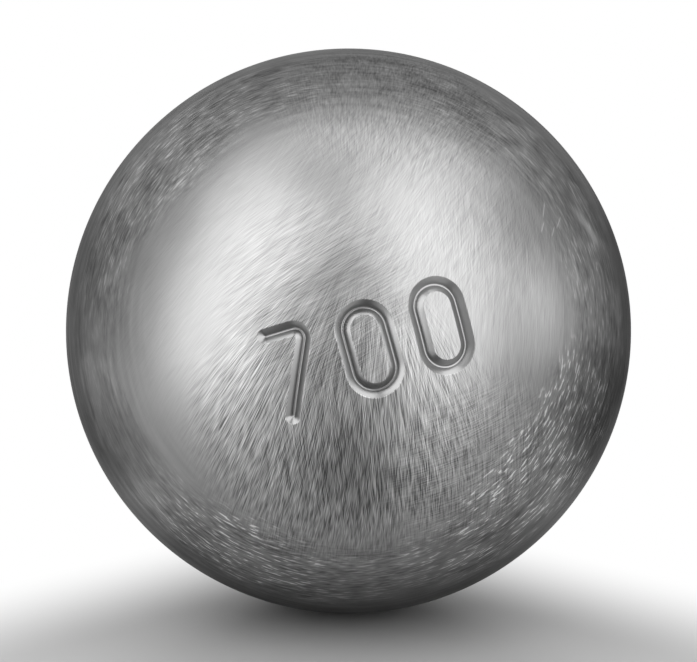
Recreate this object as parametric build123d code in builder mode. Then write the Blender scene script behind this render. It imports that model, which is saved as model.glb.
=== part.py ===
"""Competition petanque boule: two pressed steel half shells, turned at the rim and welded into a hollow ball.

Millimetres. The origin is the centre of the ball and +Z is up. The half shells share the Y axis and meet in
the seam plane Y = 0: the marked half shell has its pole at the front, -Y, and the plain one at the back, +Y.
Every section is drawn in the XY plane, with X as the radius from the Y axis, and revolved about that axis.
"""

import os
from math import asin, degrees, radians, sin

from build123d import *

# Driving dimensions of the finished ball
BALL_DIAMETER = 74.0
WALL = 6.15

# Driving dimensions of the turned rims: a spigot on one half shell centres it in a socket on the other
SPIGOT_WALL = 1.3
SPIGOT_LENGTH = 1.5
SPIGOT_CLEARANCE = 0.05
SPIGOT_END_GAP = 0.2
SPIGOT_LEAD = 0.3
SOCKET_LEAD = 0.2

# Driving dimensions of the weld preparation: flat lands that butt together, then a V groove out to the skin
ROOT_LAND = 0.8
WELD_BEVEL_ANGLE = 30.0

# Radii and depths that follow from them, from the hollow outwards
BALL_RADIUS = BALL_DIAMETER / 2
HOLLOW_RADIUS = BALL_RADIUS - WALL
SPIGOT_RADIUS = HOLLOW_RADIUS + SPIGOT_WALL
SOCKET_RADIUS = SPIGOT_RADIUS + SPIGOT_CLEARANCE
SOCKET_DEPTH = SPIGOT_LENGTH + SPIGOT_END_GAP
ROOT_RADIUS = SPIGOT_RADIUS + ROOT_LAND

# Angles at the centre of the ball, from the seam plane: to the groove's edge on the skin, and to the points
# of the hollow where the spigot ends and where the socket's floor begins
GROOVE_ANGLE = WELD_BEVEL_ANGLE - degrees(asin(ROOT_RADIUS * sin(radians(WELD_BEVEL_ANGLE)) / BALL_RADIUS))
SPIGOT_END_ANGLE = degrees(asin(SPIGOT_LENGTH / HOLLOW_RADIUS))
SOCKET_FLOOR_ANGLE = degrees(asin(SOCKET_DEPTH / HOLLOW_RADIUS))

CENTRE = (0, 0)
ROOT = (ROOT_RADIUS, 0)


# Marked half shell: the front dome, with the weld bevel, the land and the spigot on its rim
with BuildPart() as marked_half_shell:
    with BuildSketch(Plane.XY):
        with BuildLine():
            skin = CenterArc(CENTRE, BALL_RADIUS, -90, 90 - GROOVE_ANGLE)
            hollow = CenterArc(CENTRE, HOLLOW_RADIUS, SPIGOT_END_ANGLE, -90 - SPIGOT_END_ANGLE)
            Polyline(
                skin @ 1,
                ROOT,
                (SPIGOT_RADIUS, 0),
                (SPIGOT_RADIUS, SPIGOT_LENGTH),
                hollow @ 0,
            )
            Line(hollow @ 1, skin @ 0)
        make_face()
    revolve(axis=Axis.Y)
    spigot_end_rings = marked_half_shell.edges().filter_by(GeomType.CIRCLE).group_by(Axis.Y)[-1]
    chamfer(spigot_end_rings.sort_by(SortBy.RADIUS)[-1], SPIGOT_LEAD)

# Plain half shell: the back dome, with the same bevel and land, and the socket that takes the spigot
with BuildPart() as plain_half_shell:
    with BuildSketch(Plane.XY):
        with BuildLine():
            skin = CenterArc(CENTRE, BALL_RADIUS, 90, GROOVE_ANGLE - 90)
            hollow = CenterArc(CENTRE, HOLLOW_RADIUS, SOCKET_FLOOR_ANGLE, 90 - SOCKET_FLOOR_ANGLE)
            Polyline(
                skin @ 1,
                ROOT,
                (SOCKET_RADIUS, 0),
                (SOCKET_RADIUS, SOCKET_DEPTH),
                hollow @ 0,
            )
            Line(hollow @ 1, skin @ 0)
        make_face()
    revolve(axis=Axis.Y)
    rim_rings = plain_half_shell.edges().filter_by(GeomType.CIRCLE).group_by(Axis.Y)[0]
    chamfer(rim_rings.sort_by(SortBy.RADIUS)[0], SOCKET_LEAD)

# Seam weld: the filler metal in the V groove, turned down flush with the skin
with BuildPart() as seam_weld:
    with BuildSketch(Plane.XY):
        with BuildLine():
            cap = CenterArc(CENTRE, BALL_RADIUS, -GROOVE_ANGLE, 2 * GROOVE_ANGLE)
            Polyline(cap @ 1, ROOT, cap @ 0)
        make_face()
    revolve(axis=Axis.Y)

# Each piece is written under its own name
marked_half_shell.part.label = "marked_half_shell"
plain_half_shell.part.label = "plain_half_shell"
seam_weld.part.label = "seam_weld"
os.makedirs("parts", exist_ok=True)
for piece in (marked_half_shell.part, plain_half_shell.part, seam_weld.part):
    export_step(piece, f"parts/{piece.label}.step")
    print(f"{piece.label}: {piece.volume:.0f} mm3")
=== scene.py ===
"""Petanque boule: a hollow ball of two steel half shells with a flush seam weld, brushed to a satin finish.

Metres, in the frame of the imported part. The origin is the centre of the ball, +Z is up, and the pole of the
marked half shell is at -Y, towards the camera. A place on the ball is given either by its direction, as
degrees to the right of that pole and degrees up, or as the photograph shows it, in ball radii across and up
from the middle of the ball's outline. The patterns of the finishes and of the floor count in millimetres,
and the depth of a stroke is in micrometres.
"""

import math

import bmesh
import bpy
from mathutils import Matrix, Quaternion, Vector

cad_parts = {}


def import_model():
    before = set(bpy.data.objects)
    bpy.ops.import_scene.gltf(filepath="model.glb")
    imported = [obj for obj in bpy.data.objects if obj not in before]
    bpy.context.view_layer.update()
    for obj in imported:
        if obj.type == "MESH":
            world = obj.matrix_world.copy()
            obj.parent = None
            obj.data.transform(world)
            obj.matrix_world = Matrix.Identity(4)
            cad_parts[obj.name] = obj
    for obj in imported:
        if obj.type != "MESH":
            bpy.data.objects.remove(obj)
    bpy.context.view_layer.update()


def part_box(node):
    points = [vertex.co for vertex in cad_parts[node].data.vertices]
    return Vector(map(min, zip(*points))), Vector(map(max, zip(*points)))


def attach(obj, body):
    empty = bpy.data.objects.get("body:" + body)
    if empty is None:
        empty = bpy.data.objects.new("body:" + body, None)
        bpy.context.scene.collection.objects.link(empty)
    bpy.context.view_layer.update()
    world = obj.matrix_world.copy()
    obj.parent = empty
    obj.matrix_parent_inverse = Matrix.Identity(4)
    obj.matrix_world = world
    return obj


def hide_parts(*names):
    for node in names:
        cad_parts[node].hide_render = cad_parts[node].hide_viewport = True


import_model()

# The ball, read from the frame
MM = 0.001
BALL_RADIUS = -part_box("marked_half_shell")[0].y
SPIGOT_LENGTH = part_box("marked_half_shell")[1].y
SEAM_HALF_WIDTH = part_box("seam_weld")[1].y
CENTRE = Vector((0, 0, 0))
SEAM_AXIS = Vector((0, 1, 0))
UP = Vector((0, 0, 1))

# The hidden rims, as turned
WALL = 6.15 * MM
SPIGOT_WALL = 1.3 * MM
SPIGOT_LEAD = 0.3 * MM
SPIGOT_END_GAP = 0.2 * MM
SPIGOT_CLEARANCE = 0.05 * MM
SOCKET_LEAD = 0.2 * MM
ROOT_LAND = 0.8 * MM
HOLLOW_RADIUS = BALL_RADIUS - WALL
SPIGOT_RADIUS = HOLLOW_RADIUS + SPIGOT_WALL
SOCKET_RADIUS = SPIGOT_RADIUS + SPIGOT_CLEARANCE
SOCKET_DEPTH = SPIGOT_LENGTH + SPIGOT_END_GAP
ROOT_RADIUS = SPIGOT_RADIUS + ROOT_LAND

# The engraved weight: its middle and tilt as the photograph shows them, its digits, and the groove
MARK_MIDDLE = (0.07, -0.06)
MARK_TILT = 16.0
DIGIT_HEIGHT = 12.4 * MM
DIGIT_WIDTH = 7.4 * MM
DIGIT_GAP = 2.4 * MM
SEVEN_CORNER = 1.25 * MM
SEVEN_LEAN = 116.0
GROOVE_WIDTH = 2.0 * MM
GROOVE_EDGE = 0.05 * MM
GROOVE_WALL_ANGLE = 45.0
GROOVE_ROOT_RADIUS = 0.25 * MM
CUTTER_RISE = 1.0 * MM

# Mesh fineness
SKIN_CUTS = 79
HOLLOW_CUTS = 31
SEAM_STEPS = 320
SEAM_CAP_POINTS = 9
GRAVER_STEP = 0.5 * MM
GRAVER_TURN_STEP = 7.5
PLUNGE_STEPS = 48
NOSE_POINTS = 4
SHARP_ANGLE = 20.0
MERGE_DISTANCE = 0.001 * MM

# The camera, which sees the ball 565 pixels wide in a picture 697 pixels wide
CAMERA_AZIMUTH = -4.5
CAMERA_ELEVATION = 10.0
CAMERA_DISTANCE = 12 * BALL_RADIUS
CAMERA_NEAR_LIMIT = 10 * MM
PICTURE_WIDTH = 697
OUTLINE_RADIUS_PIXELS = 282.6
SENSOR_WIDTH = 36.0


def direction(right, up):
    """The unit vector from the ball's centre, degrees to the right of the marked pole and degrees up."""
    turn = math.radians(right)
    rise = math.radians(up)
    return Vector((math.sin(turn) * math.cos(rise), -math.cos(turn) * math.cos(rise), math.sin(rise)))


TOWARDS_CAMERA = direction(CAMERA_AZIMUTH, CAMERA_ELEVATION)
PICTURE_RIGHT = UP.cross(TOWARDS_CAMERA).normalized()
PICTURE_UP = TOWARDS_CAMERA.cross(PICTURE_RIGHT)


def seen_at(across, up):
    """The unit vector to the place that the photograph shows this far from the middle of the ball."""
    towards = math.sqrt(1 - across ** 2 - up ** 2)
    return PICTURE_RIGHT * across + PICTURE_UP * up + TOWARDS_CAMERA * towards


def heading_at(place, lean):
    """The direction along the skin that leans by this angle in the photograph, from its right upwards."""
    angle = math.radians(lean)
    flat = PICTURE_RIGHT * math.cos(angle) + PICTURE_UP * math.sin(angle)
    return (flat - place * flat.dot(place)).normalized()


# Modelling helpers

def start_piece(name, add_primitive, **sizes):
    """Adds a primitive as a new piece, alone in the selection, and opens it in edit mode."""
    bpy.ops.object.select_all(action="DESELECT")
    add_primitive(**sizes)
    piece = bpy.context.object
    piece.name = name
    piece.data.name = name
    bpy.ops.object.mode_set(mode="EDIT")
    return piece


def select_verts(piece, wanted):
    """Selects the vertices that pass the test, with the edges and faces between them."""
    bpy.ops.mesh.select_all(action="DESELECT")
    bpy.ops.mesh.select_mode(type="VERT")
    mesh = bmesh.from_edit_mesh(piece.data)
    for vert in mesh.verts:
        vert.select = wanted(vert)
    mesh.select_flush_mode()
    bmesh.update_edit_mesh(piece.data)


def close_piece():
    """Merges what a spin left double, turns the faces outwards and leaves edit mode."""
    bpy.ops.mesh.select_all(action="SELECT")
    bpy.ops.mesh.remove_doubles(threshold=MERGE_DISTANCE)
    bpy.ops.mesh.normals_make_consistent(inside=False)
    bpy.ops.object.mode_set(mode="OBJECT")


def finish_piece(piece, node, material):
    """Smooths a piece, gives it its finish and puts it in the place of its node."""
    bpy.ops.object.select_all(action="DESELECT")
    piece.select_set(True)
    bpy.context.view_layer.objects.active = piece
    bpy.ops.object.shade_smooth_by_angle(angle=math.radians(SHARP_ANGLE))
    piece.data.materials.clear()
    piece.data.materials.append(material)
    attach(piece, "root")
    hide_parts(node)


def round_and_cut(radius, rim):
    """Rounds the selected cube, a grid by now, into a ball, and keeps what is in front of the rim."""
    bpy.ops.transform.tosphere(value=1)
    mesh = bmesh.from_edit_mesh(bpy.context.object.data)
    corner = next(vert for vert in mesh.verts if vert.select)
    growth = radius / corner.co.length
    bpy.ops.transform.resize(value=(growth, growth, growth), center_override=CENTRE)
    bpy.ops.mesh.bisect(plane_co=(0, rim, 0), plane_no=SEAM_AXIS, clear_outer=True)


def half_shell(name, rim_sections):
    """A half shell with its pole at -Y: the skin, the hollow, and the turned rim between them.

    Each rim section is a radius about the seam axis and a place along it, from the skin to the hollow.
    """
    skin_rim = -SEAM_HALF_WIDTH
    hollow_rim = rim_sections[-1][1]
    piece = start_piece(name, bpy.ops.mesh.primitive_cube_add, size=BALL_RADIUS)
    bpy.ops.mesh.subdivide(number_cuts=SKIN_CUTS)
    round_and_cut(BALL_RADIUS, skin_rim)
    bpy.ops.mesh.hide()
    bpy.ops.mesh.primitive_cube_add(size=HOLLOW_RADIUS)
    bpy.ops.mesh.subdivide(number_cuts=HOLLOW_CUTS)
    round_and_cut(HOLLOW_RADIUS, hollow_rim)
    bpy.ops.mesh.reveal(select=False)
    select_verts(piece, lambda vert: vert.is_boundary and abs(vert.co.y - skin_rim) < MERGE_DISTANCE)
    radius = math.sqrt(BALL_RADIUS ** 2 - skin_rim ** 2)
    place = skin_rim
    for next_radius, next_place in rim_sections[:-1]:
        step = {"value": (0, next_place - place, 0)}
        bpy.ops.mesh.extrude_edges_move(TRANSFORM_OT_translate=step)
        growth = next_radius / radius
        bpy.ops.transform.resize(value=(growth, 1, growth), center_override=CENTRE)
        radius = next_radius
        place = next_place
    select_verts(piece, lambda vert: vert.is_boundary)
    bpy.ops.mesh.bridge_edge_loops()
    close_piece()
    return piece


# The graver, whose V-shaped cutter plunges into the skin and travels over the ball

def cutter_section():
    """Half of the cutter's section, as distances from its axis and heights above the skin.

    It has a small bevel at the skin, a straight wall and a round nose.
    """
    shoulder = GROOVE_WIDTH / 2 + 2 * GROOVE_EDGE
    lip = GROOVE_WIDTH / 2 - 2 * GROOVE_EDGE
    section = [(shoulder, CUTTER_RISE), (shoulder, GROOVE_EDGE), (lip, -GROOVE_EDGE)]
    wall = math.radians(GROOVE_WALL_ANGLE)
    wall_end = GROOVE_EDGE + (lip - GROOVE_ROOT_RADIUS * math.sin(wall)) * math.tan(wall)
    for index in range(NOSE_POINTS):
        angle = wall * (1 - index / (NOSE_POINTS - 0.5))
        depth = wall_end + GROOVE_ROOT_RADIUS * (math.cos(angle) - math.cos(wall))
        section.append((GROOVE_ROOT_RADIUS * math.sin(angle), -depth))
    return section


CUTTER_SECTION = cutter_section()


def draw_section(name, section, place, side):
    """Opens a new piece with a closed line in it, drawn square to the skin."""
    piece = start_piece(name, bpy.ops.mesh.primitive_circle_add, vertices=len(section))
    mesh = bmesh.from_edit_mesh(piece.data)
    for vert, (across, height) in zip(mesh.verts, section):
        vert.co = place * (BALL_RADIUS + height) + side * across
    bmesh.update_edit_mesh(piece.data)
    return piece


def plunge(name, place):
    """The round hole that the cutter makes where a groove begins or ends."""
    section = [(0.0, CUTTER_RISE), *CUTTER_SECTION, (0.0, CUTTER_SECTION[-1][1])]
    side = place.orthogonal().normalized()
    piece = draw_section(name, section, place, side)
    select_verts(piece, lambda vert: abs(vert.co.dot(side)) < MERGE_DISTANCE)
    bpy.ops.mesh.delete(type="EDGE")
    bpy.ops.mesh.select_all(action="SELECT")
    bpy.ops.mesh.spin(steps=PLUNGE_STEPS, angle=2 * math.pi, center=CENTRE, axis=place)
    close_piece()
    return piece


class Graver:
    """The solid that the cutter sweeps through the skin, driven by straight runs and turns."""

    def __init__(self, name, place, heading):
        self.place = place.normalized()
        self.heading = heading.normalized()
        section = [*CUTTER_SECTION, *((-across, height) for across, height in reversed(CUTTER_SECTION))]
        self.piece = draw_section(name, section, self.place, self.left())

    def left(self):
        """The side of the cutter, along the skin."""
        return self.place.cross(self.heading)

    def sweep(self, axis, angle, steps):
        """Carries the section round an axis through the centre. Spin turns clockwise about its axis."""
        bpy.ops.mesh.spin(steps=steps, angle=angle, center=CENTRE, axis=-axis)
        turn = Matrix.Rotation(angle, 3, axis)
        self.place = turn @ self.place
        self.heading = turn @ self.heading

    def run(self, length):
        """Goes straight on, along a great circle."""
        steps = max(1, round(length / GRAVER_STEP))
        self.sweep(self.left(), length / BALL_RADIUS, steps)

    def turn(self, radius, angle):
        """Goes round a point on the skin, to the left if the angle is positive, or else to the right."""
        side = self.left() if angle > 0 else -self.left()
        reach = radius / BALL_RADIUS
        axis = self.place * math.cos(reach) + side * math.sin(reach)
        steps = max(2, round(abs(math.degrees(angle)) / GRAVER_TURN_STEP))
        self.sweep(axis.normalized(), angle, steps)

    def close_end(self):
        """Closes the solid with a face where the cutter stands."""
        bpy.ops.mesh.edge_face_add()

    def select_section(self):
        """Selects the section that stands where the cutter is, square to its heading."""
        heading = self.heading.copy()
        select_verts(self.piece, lambda vert: abs(vert.co.dot(heading)) < MERGE_DISTANCE)


def on_mark(across, up):
    """The place on the ball at these distances from the mark's middle, along its line and square to it."""
    middle = seen_at(*MARK_MIDDLE)
    along = heading_at(middle, MARK_TILT)
    return (middle * BALL_RADIUS + along * across + middle.cross(along) * up).normalized()


def cut_zero(name, across):
    """A long round zero: two straight sides and two half turns that close the groove."""
    radius = (DIGIT_WIDTH - GROOVE_WIDTH) / 2
    side = DIGIT_HEIGHT - GROOVE_WIDTH - 2 * radius
    start = on_mark(across + radius, -side / 2)
    graver = Graver(name, start, heading_at(start, MARK_TILT + 90))
    half_turn = 2 * math.atan2(1, math.sin(radius / BALL_RADIUS) * math.tan(side / 2 / BALL_RADIUS))
    for _ in range(2):
        graver.run(side)
        graver.turn(radius, half_turn)
    close_piece()
    return [graver.piece]


def cut_seven(name, across):
    """A seven: the bar, a small round corner and the leaning stem, with round ends."""
    bar = DIGIT_WIDTH - GROOVE_WIDTH
    rise = DIGIT_HEIGHT - GROOVE_WIDTH
    lean = math.radians(SEVEN_LEAN)
    trim = SEVEN_CORNER * math.tan(lean / 2)
    start = on_mark(across - bar / 2, rise / 2)
    graver = Graver(name, start, heading_at(start, MARK_TILT))
    graver.close_end()
    graver.select_section()
    graver.run(bar - trim)
    graver.turn(SEVEN_CORNER, -lean)
    graver.run(rise / math.sin(lean) - trim)
    graver.close_end()
    close_piece()
    return [graver.piece, plunge(name + "_start", start), plunge(name + "_end", graver.place)]


def engrave(piece, cutters):
    """Cuts the digits out of the skin."""
    for cutter in cutters:
        bpy.ops.object.select_all(action="DESELECT")
        piece.select_set(True)
        bpy.context.view_layer.objects.active = piece
        cut = piece.modifiers.new(cutter.name, "BOOLEAN")
        cut.operation = "DIFFERENCE"
        cut.solver = "EXACT"
        cut.object = cutter
        bpy.ops.object.modifier_apply(modifier=cut.name)
        bpy.data.objects.remove(cutter)


# The pieces

def marked_half_shell(material):
    """The front half shell: the spigot on its rim, and the weight engraved near its pole."""
    rim = (
        (ROOT_RADIUS, 0.0),
        (SPIGOT_RADIUS, 0.0),
        (SPIGOT_RADIUS, SPIGOT_LENGTH - SPIGOT_LEAD),
        (SPIGOT_RADIUS - SPIGOT_LEAD, SPIGOT_LENGTH),
        (math.sqrt(HOLLOW_RADIUS ** 2 - SPIGOT_LENGTH ** 2), SPIGOT_LENGTH),
    )
    piece = half_shell("marked_half_shell_engraved", rim)
    pitch = DIGIT_WIDTH + DIGIT_GAP
    cutters = [
        *cut_seven("seven", -pitch),
        *cut_zero("first_zero", 0.0),
        *cut_zero("second_zero", pitch),
    ]
    engrave(piece, cutters)
    finish_piece(piece, "marked_half_shell", material)


def plain_half_shell(material):
    """The back half shell, with the socket, modelled with its pole at -Y and then turned half round."""
    rim = (
        (ROOT_RADIUS, 0.0),
        (SOCKET_RADIUS + SOCKET_LEAD, 0.0),
        (SOCKET_RADIUS, -SOCKET_LEAD),
        (SOCKET_RADIUS, -SOCKET_DEPTH),
        (math.sqrt(HOLLOW_RADIUS ** 2 - SOCKET_DEPTH ** 2), -SOCKET_DEPTH),
    )
    piece = half_shell("plain_half_shell_brushed", rim)
    piece.rotation_euler.z = math.pi
    bpy.ops.object.transform_apply(location=False, rotation=True, scale=False)
    finish_piece(piece, "plain_half_shell", material)


def seam_weld(material):
    """The filler metal: the cap's arc and the root, carried once round the seam axis."""
    cap_angle = math.asin(SEAM_HALF_WIDTH / BALL_RADIUS)
    corners = SEAM_CAP_POINTS + 1
    piece = start_piece("seam_weld_turned", bpy.ops.mesh.primitive_circle_add, vertices=corners)
    mesh = bmesh.from_edit_mesh(piece.data)
    mesh.verts.ensure_lookup_table()
    for index in range(SEAM_CAP_POINTS):
        angle = cap_angle * (2 * index / (SEAM_CAP_POINTS - 1) - 1)
        mesh.verts[index].co = (BALL_RADIUS * math.cos(angle), BALL_RADIUS * math.sin(angle), 0)
    mesh.verts[SEAM_CAP_POINTS].co = (ROOT_RADIUS, 0, 0)
    bmesh.update_edit_mesh(piece.data)
    bpy.ops.mesh.spin(steps=SEAM_STEPS, angle=2 * math.pi, center=CENTRE, axis=SEAM_AXIS)
    close_piece()
    finish_piece(piece, "seam_weld", material)


# Shader maths

class Signal:
    """One socket of a node tree. Arithmetic on it adds Math nodes, and node() adds any other node."""

    def __init__(self, tree, socket=None):
        self.tree = tree
        self.socket = socket

    def node(self, kind, settings, sockets, output=0):
        """Adds a node with its settings, and a value or a link for each socket that is named."""
        made = self.tree.nodes.new(kind)
        for name, value in settings.items():
            setattr(made, name, value)
        for key, value in sockets.items():
            if isinstance(value, Signal):
                self.tree.links.new(value.socket, made.inputs[key])
            else:
                made.inputs[key].default_value = value
        return Signal(self.tree, made.outputs[output])

    def feed(self, socket):
        """Links the signal to a socket of a node that is already there."""
        self.tree.links.new(self.socket, socket)

    def math(self, operation, *values):
        return self.node("ShaderNodeMath", {"operation": operation}, dict(enumerate(values)))

    def __add__(self, other):
        return self.math("ADD", self, other)

    def __radd__(self, other):
        return self.math("ADD", other, self)

    def __sub__(self, other):
        return self.math("SUBTRACT", self, other)

    def __rsub__(self, other):
        return self.math("SUBTRACT", other, self)

    def __mul__(self, other):
        return self.math("MULTIPLY", self, other)

    def __rmul__(self, other):
        return self.math("MULTIPLY", other, self)

    def __abs__(self):
        return self.math("ABSOLUTE", self)

    def larger(self, other):
        return self.math("MAXIMUM", self, other)

    def vector(self, operation, sockets, output="Vector"):
        return self.node("ShaderNodeVectorMath", {"operation": operation}, sockets, output)

    def plus(self, other):
        return self.vector("ADD", {0: self, 1: other})

    def minus(self, other):
        return self.vector("SUBTRACT", {0: self, 1: other})

    def scaled(self, amount):
        return self.vector("SCALE", {"Vector": self, "Scale": amount})

    def unit(self):
        return self.vector("NORMALIZE", {0: self})

    def along(self, axis):
        """How far a vector reaches along an axis."""
        return self.vector("DOT_PRODUCT", {0: self, 1: axis}, "Value")

    def length(self):
        return self.vector("LENGTH", {0: self}, "Value")

    def ramp(self, low, high):
        """0 up to low, 1 from high on, and an even curve between them."""
        smooth = {"interpolation_type": "SMOOTHSTEP"}
        return self.node("ShaderNodeMapRange", smooth, {"Value": self, "From Min": low, "From Max": high})

    def noise(self, detail):
        """Noise about 0, with one lump for each step of the vector."""
        return self.node("ShaderNodeTexNoise", {}, {"Vector": self, "Scale": 1.0, "Detail": detail}) - 0.5

    def lumps(self, size, detail=1.0):
        """Noise about 0 over a place, with lumps of this size."""
        return self.scaled(1 / size).noise(detail)

    def grey(self):
        """The value as a colour."""
        return self.node("ShaderNodeCombineColor", {}, {0: self, 1: self, 2: self})


def new_material(name):
    """A material with its Principled shader, and the place on the piece in millimetres."""
    material = bpy.data.materials.new(name)
    material.use_nodes = True
    shader = material.node_tree.nodes["Principled BSDF"]
    metres = Signal(material.node_tree).node("ShaderNodeTexCoord", {}, {}, "Object")
    return material, shader, metres.scaled(1 / MM)


def strokes(place, axis, around, across, shift):
    """Noise drawn out into strokes, round the axis if around is small and towards it if around is large.

    Around counts lumps per radian about the axis, and across counts them per millimetre along it.
    """
    height = place.along(axis)
    pole = place.node("ShaderNodeCombineXYZ", {}, dict(enumerate(axis)))
    ring = place.minus(pole.scaled(height)).unit()
    return ring.scaled(around).plus(pole.scaled(height * across + shift)).noise(1.0)


def brushing(place, middle, lean, length, width, shift):
    """Straight strokes, near enough, of a length and width, leaning as the photograph shows them."""
    axis = middle.cross(heading_at(middle, lean))
    return strokes(place, axis, BALL_RADIUS / MM / length, 1 / width, shift)


def around_spot(facing, middle, inner, outer):
    """1 within the inner angle of a place, 0 beyond the outer one."""
    return facing.along(middle).ramp(math.cos(math.radians(outer)), math.cos(math.radians(inner)))


def spots(facing, table):
    """The sum of soft spots: place in the photograph, inner and outer angle, and strength."""
    total = 0.0
    for across, up, inner, outer, strength in table:
        total = around_spot(facing, seen_at(across, up), inner, outer) * strength + total
    return total


def scratch(place, facing, start, end, width):
    """1 along the line between two places in the photograph, 0 beside it and past its ends."""
    first, last = seen_at(*start), seen_at(*end)
    middle = (first + last).normalized()
    reach = math.degrees(first.angle(last)) / 2
    beside = abs(place.along(first.cross(last).normalized()))
    ends = around_spot(facing, middle, SCRATCH_WHOLE * reach, SCRATCH_END * reach)
    return (1 - beside.ramp(SCRATCH_CORE * width, width)) * ends


# The steel: its tone, the tint of its edge, its darkest stroke, its roughness and its slight swell
STEEL_TONE = 0.40
EDGE_TINT = 0.12
DARKEST_STROKE = 0.35
STEEL_ROUGHNESS = 0.39
ROUGHNESS_SPREAD = 0.12
ROUGHNESS_PATCH = 6.0
SWELL_DEPTH = 80.0
SWELL_SIZE = 9.0
MICROMETRE = 1e-6

# The grooves: the depths between which the strokes fade out, their darker tone, which is painted shade, and
# how much smoother they are
STROKES_WHOLE = 0.03
STROKES_GONE = 0.10
GROOVE_SHADED_TONE = 0.88
GROOVE_POLISH = 0.09

# Hand brushing over the front: place in the photograph, lean, outer angle, and the length, width, depth
# and tone of a stroke
BRUSHED_PATCHES = (
    (-0.48, 0.2, 40.0, 46.0, 3.2, 0.08, 6.0, 0.3),
    (-0.42, 0.28, 34.0, 40.0, 2.6, 0.075, 5.0, 0.3),
    (-0.28, 0.48, 47.0, 34.0, 3.2, 0.08, 6.0, 0.3),
    (-0.12, 0.12, 34.0, 24.0, 3.2, 0.085, 10.0, 1.3),
    (-0.08, 0.06, 28.0, 20.0, 2.4, 0.075, 9.0, 1.1),
    (0.18, 0.5, 57.0, 34.0, 3.4, 0.085, 9.0, 0.6),
    (0.32, 0.4, 65.0, 30.0, 2.8, 0.08, 8.0, 0.5),
    (0.55, 0.08, 85.0, 30.0, 3.2, 0.085, 10.0, 0.7),
    (0.52, 0.34, 75.0, 24.0, 2.6, 0.085, 12.0, 0.65),
    (0.02, -0.4, 97.0, 22.0, 3.6, 0.11, 12.0, 2.4),
    (0.42, -0.46, 14.0, 22.0, 2.6, 0.12, 18.0, 1.4),
    (0.42, -0.42, 104.0, 24.0, 2.6, 0.12, 18.0, 1.4),
)

# Hand brushing over the back: degrees right of the marked pole, degrees up, and the rest as above
BACK_PATCHES = (
    (180.0, 0.0, 40.0, 50.0, 4.0, 0.12, 30.0, 0.6),
    (150.0, 30.0, 120.0, 40.0, 3.0, 0.12, 30.0, 0.6),
    (205.0, -25.0, 70.0, 42.0, 3.5, 0.12, 34.0, 0.6),
    (172.0, 34.0, 10.0, 34.0, 3.0, 0.14, 34.0, 0.65),
    (216.0, 20.0, 95.0, 36.0, 3.0, 0.12, 30.0, 0.6),
)
PATCH_CORE = 0.3
PATCH_SHIFT = 7.3

# The fan of strokes below the mark: where it is, then for each of its two sweeps the place that it spreads
# from, its strokes per radian, its lumps per millimetre and its shift
FAN_MIDDLE = (-0.04, -0.34)
FAN_CORE = 16.0
FAN_OUTER = 34.0
FAN_SWEEPS = (
    ((0.04, 0.36), 220.0, 0.42, 3.1),
    ((0.14, 0.46), 240.0, 0.48, 8.6),
)
FAN_DEPTH = 18.0
FAN_TONE = 2.3

# The ring of turning marks. Its edges are cosines from the axis of turning, and wander a little
RING_AXIS = seen_at(0.0, 0.02)
RING_OUTER_EDGE = (0.22, 0.42)
RING_INNER_EDGE = (0.54, 0.66)
RING_WANDER = 0.16
RING_WANDER_SIZE = 9.0
RING_SPREAD = 0.06
TURNING_DEPTH = 30.0

# Short dashes in the ring, which come in clusters, and the brightest of them, the flecks, whose light tone
# is partly fresh metal and partly painted glint
DASHES_PER_RADIAN = 20.0
DASH_WIDTH = 0.26
DASH_SHIFT = 1.7
DASH_TONE = 1.3
DASH_LEVEL = 0.3
CLUSTER_SIZE = 4.0
CLUSTER_EDGE = 0.12
CLUSTER_SHARE = 0.7
CLUSTER_PLAIN = 0.7
CLUSTER_TONE = 0.2
FLECK_EDGE = (0.07, 0.20)
FLECK_LEVEL = 0.4
FLECK_TONE_WITH_PAINTED_GLINT = 0.9

# Long arcs in the ring and outside it, and short upright strokes near the top
ARCS_PER_RADIAN = 2.0
ARC_WIDTH = 0.7
ARC_SHIFT = 4.4
ARC_EDGE = (0.60, 0.80)
ARC_TONE = 0.6
UPRIGHTS_PER_RADIAN = 150.0
UPRIGHT_LUMPS = 0.9
UPRIGHT_SHIFT = 5.2

# Where these marks are strong: place in the photograph, inner and outer angle, and strength
STRONG_DASHES = (
    (-0.60, 0.58, 10.0, 40.0, 0.8),
    (0.62, -0.52, 6.0, 34.0, 0.5),
    (-0.25, -0.80, 8.0, 36.0, 0.9),
    (0.88, -0.05, 6.0, 30.0, 0.5),
    (0.60, 0.60, 6.0, 30.0, 0.4),
)
WIDE_RING = (
    (0.62, -0.52, 6.0, 34.0, 0.08),
)
# Where the flecks are brightest, which is painted glint
FLECKS_WITH_PAINTED_GLINT = (
    (0.62, -0.52, 6.0, 34.0, 2.4),
    (-0.36, -0.76, 4.0, 20.0, 1.8),
)
UPRIGHT_PATCH = (
    (0.15, 0.80, 8.0, 28.0, 1.0),
)

# Single scratches, both ends as the photograph shows them, and one broader pale band of painted highlight
SCRATCHES = (
    ((0.640, 0.645), (0.700, 0.585)),
    ((0.750, 0.515), (0.785, 0.435)),
    ((0.660, 0.435), (0.652, 0.380)),
    ((0.655, 0.365), (0.645, 0.330)),
    ((0.716, 0.385), (0.700, 0.345)),
    ((0.692, 0.350), (0.682, 0.318)),
    ((0.772, 0.262), (0.789, 0.228)),
    ((0.845, 0.235), (0.845, 0.205)),
    ((0.410, -0.570), (0.470, -0.515)),
    ((0.690, -0.420), (0.730, -0.360)),
)
SCRATCH_WIDTH = 0.16
SCRATCH_DEPTH = 12.0
SCRATCH_TONE = 0.5
SCRATCH_CORE = 0.2
SCRATCH_WHOLE = 0.4
SCRATCH_END = 1.2
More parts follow.
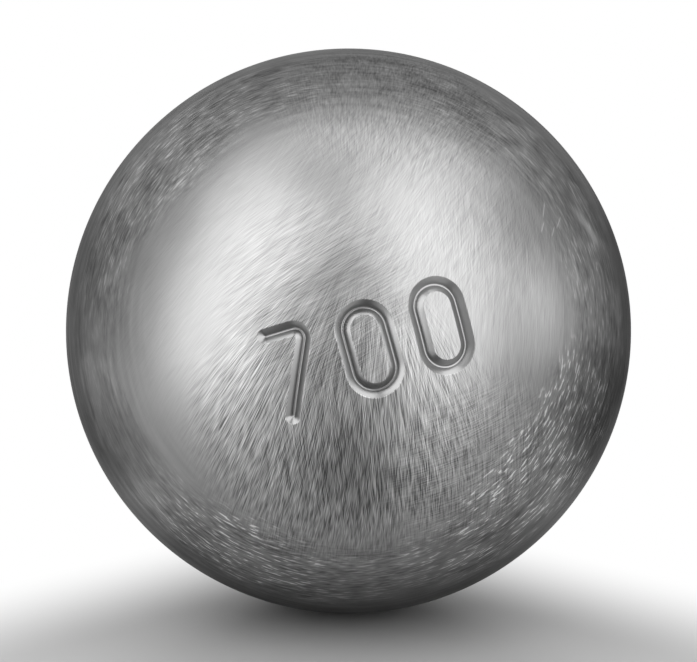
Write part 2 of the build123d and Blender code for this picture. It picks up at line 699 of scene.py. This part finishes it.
# A pale band of painted highlight: its two ends, its width and its tone
PAINTED_HIGHLIGHT_STREAK = ((0.765, 0.420), (0.860, 0.290))
HIGHLIGHT_STREAK_WIDTH = 1.4
HIGHLIGHT_STREAK_TONE = 0.6

# The weld: fine rings of long arcs round the seam, and cloudy patches
WELD_ARCS_PER_RADIAN = 3.0
WELD_RING_WIDTH = 0.12
WELD_RING_SHIFT = 2.3
WELD_RING_DEPTH = 20.0
WELD_RING_TONE = 0.5
WELD_PATCH = 5.0
WELD_PATCH_TONE = 0.2


# Materials. Each set of marks gives how high it stands, and how much lighter it is than the plain steel

def hand_brushing(place, facing):
    """The strokes of hand brushing, patch by patch, and the fan below the mark."""
    patches = [(seen_at(across, up), *rest) for across, up, *rest in BRUSHED_PATCHES]
    patches += [(direction(right, up), *rest) for right, up, *rest in BACK_PATCHES]
    height = 0.0
    tone = 0.0
    for index, (middle, lean, outer, length, width, patch_depth, patch_tone) in enumerate(patches):
        patch = around_spot(facing, middle, PATCH_CORE * outer, outer)
        lines = patch * brushing(place, middle, lean, length, width, PATCH_SHIFT * index)
        height = lines * patch_depth + height
        tone = lines * patch_tone + tone
    fan_patch = around_spot(facing, seen_at(*FAN_MIDDLE), FAN_CORE, FAN_OUTER)
    for source, around, across, shift in FAN_SWEEPS:
        lines = fan_patch * strokes(place, seen_at(*source), around, across, shift)
        height = lines * FAN_DEPTH + height
        tone = lines * FAN_TONE + tone
    return height, tone


def turning_marks(place, facing):
    """The ring of dashes and flecks with painted glint, the long arcs, and the upright strokes near the top.
    """
    steepness = abs(facing.along(RING_AXIS) + place.lumps(RING_WANDER_SIZE) * RING_WANDER)
    strength = spots(facing, STRONG_DASHES) + DASH_LEVEL
    inside = (steepness - strength * RING_SPREAD - spots(facing, WIDE_RING)).ramp(*RING_INNER_EDGE)
    ring = (1 - inside) * steepness.ramp(*RING_OUTER_EDGE)
    dash = strokes(place, RING_AXIS, DASHES_PER_RADIAN, 1 / DASH_WIDTH, DASH_SHIFT)
    clusters = place.lumps(CLUSTER_SIZE).ramp(-CLUSTER_EDGE, CLUSTER_EDGE)
    # Most of the flecks' light tone is painted glint
    fleck_and_glint_brightness = strength * FLECK_LEVEL + spots(facing, FLECKS_WITH_PAINTED_GLINT)
    flecks_with_glint = dash.ramp(*FLECK_EDGE) * (clusters * CLUSTER_SHARE + (1 - CLUSTER_SHARE)) * ring * fleck_and_glint_brightness
    dashes = dash * ring * strength
    clouds = (clusters - CLUSTER_PLAIN) * ring
    arcs = strokes(place, RING_AXIS, ARCS_PER_RADIAN, 1 / ARC_WIDTH, ARC_SHIFT)
    arcs = arcs * (1 - steepness.ramp(*ARC_EDGE))
    uprights = strokes(place, RING_AXIS, UPRIGHTS_PER_RADIAN, UPRIGHT_LUMPS, UPRIGHT_SHIFT)
    uprights = uprights * spots(facing, UPRIGHT_PATCH)
    height = (dashes + arcs + uprights) * TURNING_DEPTH
    tone = flecks_with_glint * FLECK_TONE_WITH_PAINTED_GLINT + dashes * DASH_TONE + clouds * CLUSTER_TONE + arcs * ARC_TONE + uprights
    return height, tone


def single_scratches(place, facing):
    """The single scratches, and the pale band of painted highlight."""
    marks = 0.0
    for start, end in SCRATCHES:
        marks = scratch(place, facing, start, end, SCRATCH_WIDTH) + marks
    # A painted highlight: lighter tone along a line
    painted_highlight = scratch(place, facing, *PAINTED_HIGHLIGHT_STREAK, HIGHLIGHT_STREAK_WIDTH)
    return marks * -SCRATCH_DEPTH, marks * SCRATCH_TONE + painted_highlight * HIGHLIGHT_STREAK_TONE


def polish(shader, tone, roughness, height):
    """Feeds a metal shader with its tone, its roughness and its height in micrometres."""
    tone.grey().feed(shader.inputs["Base Color"])
    roughness.feed(shader.inputs["Roughness"])
    bump = height.node("ShaderNodeBump", {}, {"Distance": MICROMETRE, "Height": height})
    bump.feed(shader.inputs["Normal"])
    shader.inputs["Metallic"].default_value = 1.0
    shader.inputs["Specular Tint"].default_value = (EDGE_TINT, EDGE_TINT, EDGE_TINT, 1)


def ground_steel():
    """Satin steel: brushed by hand over the poles, with the marks of turning in the ring between them."""
    material, shader, place = new_material("satin steel")
    facing = place.unit()
    radius = BALL_RADIUS / MM
    skin = place.length().ramp(radius - STROKES_GONE, radius - STROKES_WHOLE)
    height = 0.0
    tone = 1 - GROOVE_SHADED_TONE
    for marks in (hand_brushing, turning_marks, single_scratches):
        marks_height, marks_tone = marks(place, facing)
        height = marks_height + height
        tone = marks_tone + tone
    height = height * skin + place.lumps(SWELL_SIZE, 0.0) * SWELL_DEPTH
    # Below the skin the tone drops to the grooves' darker tone, which is painted shade
    tone = (tone * skin + GROOVE_SHADED_TONE).larger(DARKEST_STROKE) * STEEL_TONE
    patchy = place.lumps(ROUGHNESS_PATCH) * ROUGHNESS_SPREAD
    polish(shader, tone, patchy + skin * GROOVE_POLISH + (STEEL_ROUGHNESS - GROOVE_POLISH), height)
    return material


def weld_steel():
    """The weld: the same steel, with the fine rings that turning it flush left round the seam."""
    material, shader, place = new_material("weld steel")
    rings = strokes(place, SEAM_AXIS, WELD_ARCS_PER_RADIAN, 1 / WELD_RING_WIDTH, WELD_RING_SHIFT)
    patchy = place.lumps(WELD_PATCH)
    tone = (rings * WELD_RING_TONE + patchy * WELD_PATCH_TONE + 1) * STEEL_TONE
    polish(shader, tone, patchy * ROUGHNESS_SPREAD + STEEL_ROUGHNESS, rings * WELD_RING_DEPTH)
    return material


# The floor, in metres
FLOOR_WIDTH = 6.0

# Its paper is greyer near the ball, as painted shade, with a strip of painted shade in front of it and
# sides past the picture's edges darkened by painted shade. Behind the ball, as far as the picture reaches,
# it is white. Pairs are where a change begins and ends, in millimetres
PAPER_ROUGHNESS = 0.55
# The near tone, the strip's darkness and the dimming of the sides are painted shade
PAPER_SHADED_NEAR_TONE = 0.43
PAPER_FAR_TONE = 0.91
PAPER_REACH = (50, 200)
STRIP_PAINTED_SHADE = 0.88
STRIP_AHEAD = (30, 60)
STRIP_ASIDE = (6, 22)
FAR_SIDES = (50, 110)
FAR_RIGHT_PAINTED_SHADE = 0.44
FAR_LEFT_PAINTED_SHADE = 0.05
PICTURE_SPREAD = 0.11
SIDES_BEGIN = (47, 85)
SIDES_END = (95, 160)
SIDES_LEAN = 0.5
SIDES_BACK = (-40, 15)
SIDES_PAINTED_SHADE = 0.85
WHITE_BEGINS = (18, 66)
WHITE_ENDS = (47, 56)
WHITE_WEDGE = 1.15

# The light: a grey studio, and softboxes. Each has degrees right of the marked pole, degrees up, lean,
# then distance, width and height in metres, and radiance
STUDIO_LEVEL = 0.41
SOFTBOXES = {
    "left_softbox": (-49.5, 24.0, 14.0, 0.14, 0.104, 0.206, 1.85),
    "right_softbox": (31.0, 29.5, 0.0, 0.14, 0.102, 0.232, 1.75),
    "far_right_softbox": (77.0, 9.0, 0.0, 0.5, 0.112, 0.234, 2.1),
    "overhead_softbox": (0.0, 90.0, 0.0, 0.5, 1.2, 0.104, 1.75),
    "back_softbox": (180.0, 22.0, 0.0, 0.5, 0.75, 0.25, 1.25),
}


# The stage

def camera():
    """A long lens, a little above the ball, that frames it as the photograph does."""
    bpy.ops.object.camera_add()
    made = bpy.context.object
    made.location = TOWARDS_CAMERA * CAMERA_DISTANCE
    made.rotation_euler = (-TOWARDS_CAMERA).to_track_quat("-Z", "Y").to_euler()
    outline = BALL_RADIUS / math.sqrt(CAMERA_DISTANCE ** 2 - BALL_RADIUS ** 2)
    made.data.sensor_width = SENSOR_WIDTH
    made.data.lens = OUTLINE_RADIUS_PIXELS / outline * SENSOR_WIDTH / PICTURE_WIDTH
    made.data.clip_start = CAMERA_NEAR_LIMIT
    bpy.context.scene.camera = made


def softbox(name, right, up, lean, distance, width, height, radiance):
    """A rectangular lamp that faces the ball, leaning to the right, with the radiance of its face."""
    bpy.ops.object.light_add(type="AREA")
    made = bpy.context.object
    made.name = name
    toward = direction(right, up)
    made.location = toward * distance
    facing = (-toward).to_track_quat("-Z", "Y")
    made.rotation_euler = (facing @ Quaternion((0, 0, 1), -math.radians(lean))).to_euler()
    made.data.shape = "RECTANGLE"
    made.data.size = width
    made.data.size_y = height
    made.data.energy = radiance * math.pi * width * height
    made.visible_camera = False


def floor_paper():
    """The paper of the floor, with its painted shade, and the white of it behind the ball."""
    material, shader, place = new_material("floor paper")
    right = place.along(PICTURE_RIGHT)
    back = place.along(PICTURE_RIGHT.cross(-UP))
    aside = abs(right)
    past_edge = aside - back * PICTURE_SPREAD

    # The paper's tone, with painted shade near the ball, in the strip ahead and at the sides
    far = place.length().ramp(*PAPER_REACH)
    # The strip ahead and both kinds of sides are painted shade, darkening what the steel mirrors
    strip_shade = (0 - back).ramp(*STRIP_AHEAD) * (1 - aside.ramp(*STRIP_ASIDE)) * STRIP_PAINTED_SHADE
    far_sides_shade = right.ramp(*FAR_SIDES) * FAR_RIGHT_PAINTED_SHADE
    far_sides_shade = (0 - right).ramp(*FAR_SIDES) * FAR_LEFT_PAINTED_SHADE + far_sides_shade
    sides = past_edge.ramp(*SIDES_BEGIN) * (1 - (aside - right * SIDES_LEAN).ramp(*SIDES_END))
    sides = sides * back.ramp(*SIDES_BACK) * SIDES_PAINTED_SHADE
    # The grey near the ball is painted shade
    tone = far * (PAPER_FAR_TONE - PAPER_SHADED_NEAR_TONE) + PAPER_SHADED_NEAR_TONE
    tone = tone * (1 - strip_shade) * (1 - far_sides_shade) * (1 - sides)
    tone.grey().feed(shader.inputs["Base Color"])
    shader.inputs["Roughness"].default_value = PAPER_ROUGHNESS

    # The white, for what the camera sees and what the steel mirrors
    white_part = (back + aside * WHITE_WEDGE).ramp(*WHITE_BEGINS) * (1 - past_edge.ramp(*WHITE_ENDS))
    camera_ray, glossy_ray, transmission_ray = (
        place.node("ShaderNodeLightPath", {}, {}, name)
        for name in ("Is Camera Ray", "Is Glossy Ray", "Is Transmission Ray")
    )
    seen = camera_ray.larger(glossy_ray).larger(transmission_ray)
    white = place.node("ShaderNodeEmission", {}, {"Strength": 1.0})
    tree = material.node_tree
    paper = Signal(tree, shader.outputs[0])
    both = place.node("ShaderNodeMixShader", {}, {0: white_part * seen, 1: paper, 2: white})
    both.feed(tree.nodes["Material Output"].inputs["Surface"])
    return material


def floor():
    """A wide pale floor that the ball stands on."""
    below = (0, 0, -BALL_RADIUS)
    piece = start_piece("floor", bpy.ops.mesh.primitive_plane_add, size=FLOOR_WIDTH, location=below)
    bpy.ops.object.mode_set(mode="OBJECT")
    bpy.ops.object.transform_apply()
    piece.data.materials.append(floor_paper())


def world():
    """The even grey of the studio round the ball."""
    made = bpy.data.worlds.new("studio")
    bpy.context.scene.world = made
    made.use_nodes = True
    level = (STUDIO_LEVEL, STUDIO_LEVEL, STUDIO_LEVEL, 1)
    made.node_tree.nodes["Background"].inputs["Color"].default_value = level


steel = ground_steel()
marked_half_shell(steel)
plain_half_shell(steel)
seam_weld(weld_steel())
camera()
floor()
world()
for softbox_name, placing in SOFTBOXES.items():
    softbox(softbox_name, *placing)
bpy.context.scene.view_settings.view_transform = "Standard"
